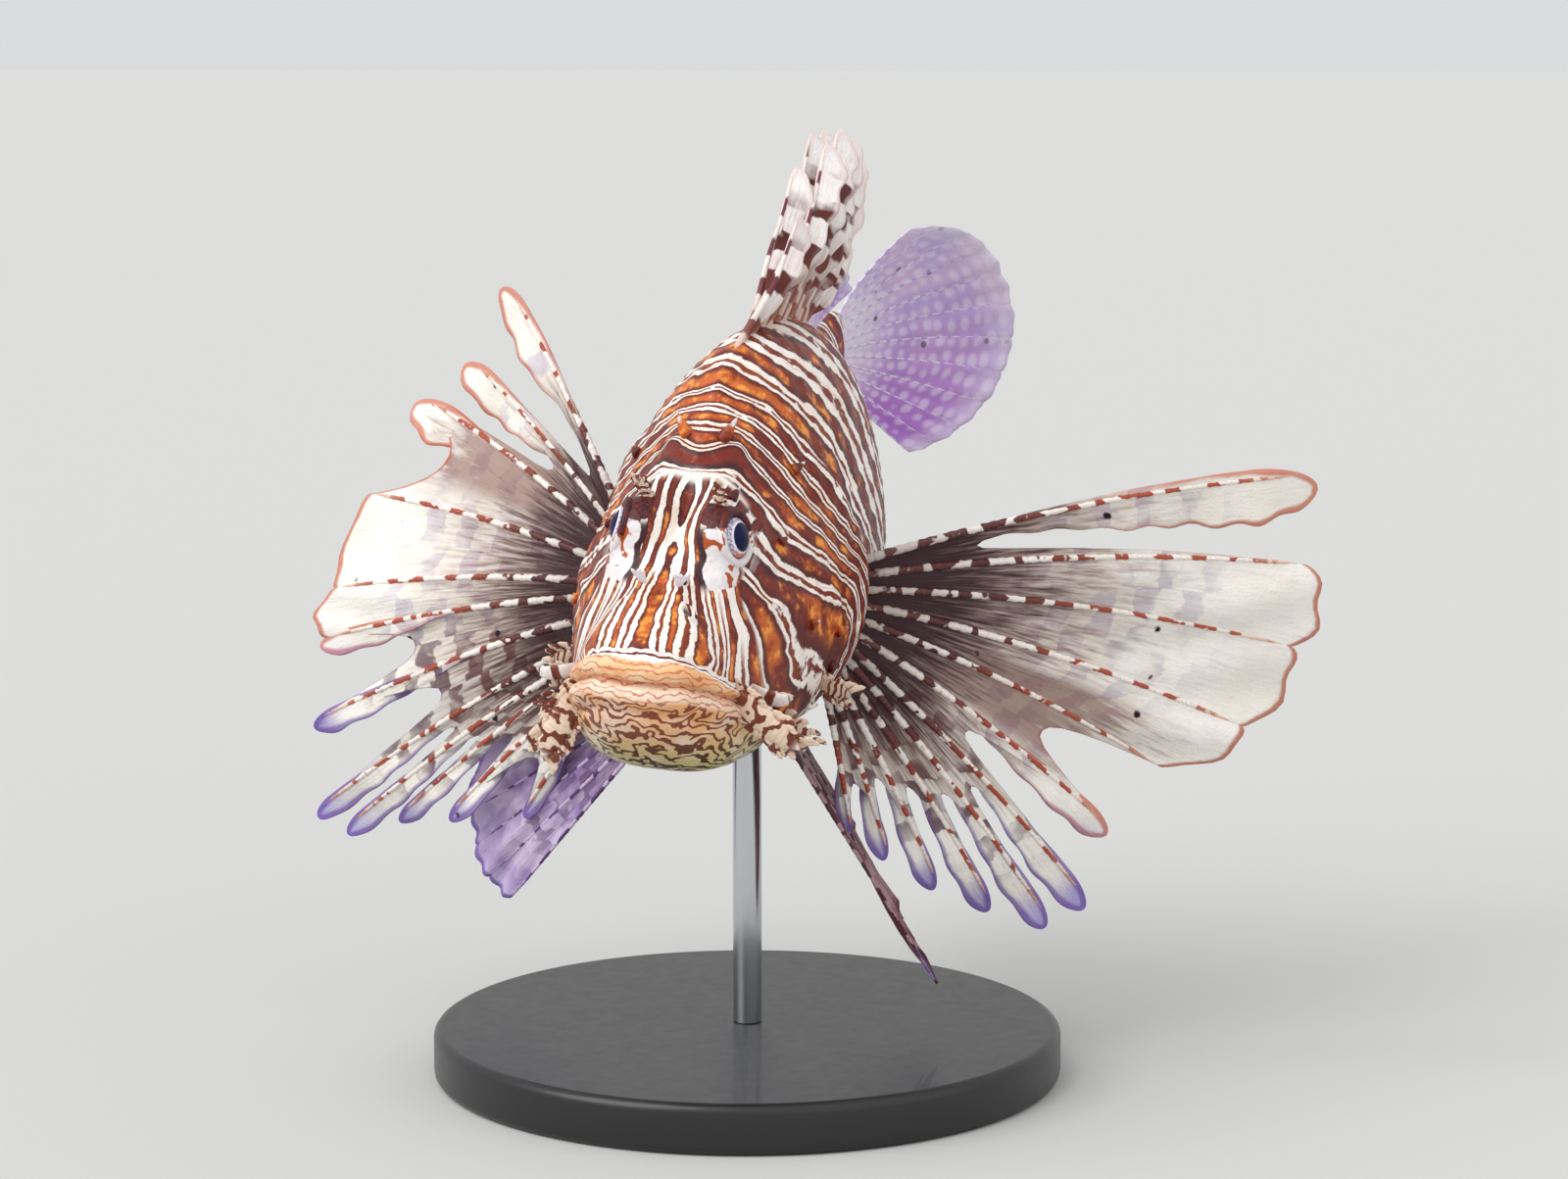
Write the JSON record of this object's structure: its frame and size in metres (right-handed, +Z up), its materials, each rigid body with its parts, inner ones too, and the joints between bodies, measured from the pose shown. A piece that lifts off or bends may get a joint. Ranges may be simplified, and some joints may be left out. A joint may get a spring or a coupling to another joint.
{
  "type": "red lionfish display model",
  "caption": "Life-size red lionfish, swimming nose down with its ray fins spread, held by a rod on a round stand.",
  "frame": {"origin": "centre of the flat underside of the stand's round base", "axes": "+Z up; the fish's head points to -Y and its tail to +Y, so its left side is +X"},
  "size_m": [0.2434, 0.2653, 0.2272],
  "materials": {
    "body": "red-brown and white bands, moist sheen",
    "ray_fins": "off-white membrane with banded rays",
    "tail_fins": "pale violet membrane with small spots",
    "eyes": "clear wet gloss",
    "rod": "brushed",
    "base": "satin black"
  },
  "bodies": {
    "root": {"head": "body", "lower_jaw": "body", "torso": "body", "tail": "body", "dorsal_fin_spiny": "ray_fins", "dorsal_fin_soft": "tail_fins", "anal_fin": "tail_fins", "caudal_fin": "tail_fins", "eye_left": "eyes", "pectoral_fin_left": "ray_fins", "pelvic_fin_left": "ray_fins", "mouth_tentacle_left": "body", "brow_tentacle_left": "body", "eye_right": "eyes", "pectoral_fin_right": "ray_fins", "pelvic_fin_right": "ray_fins", "mouth_tentacle_right": "body", "brow_tentacle_right": "body", "stand_rod": "rod", "stand_base": "base"}
  },
  "joints": []
}
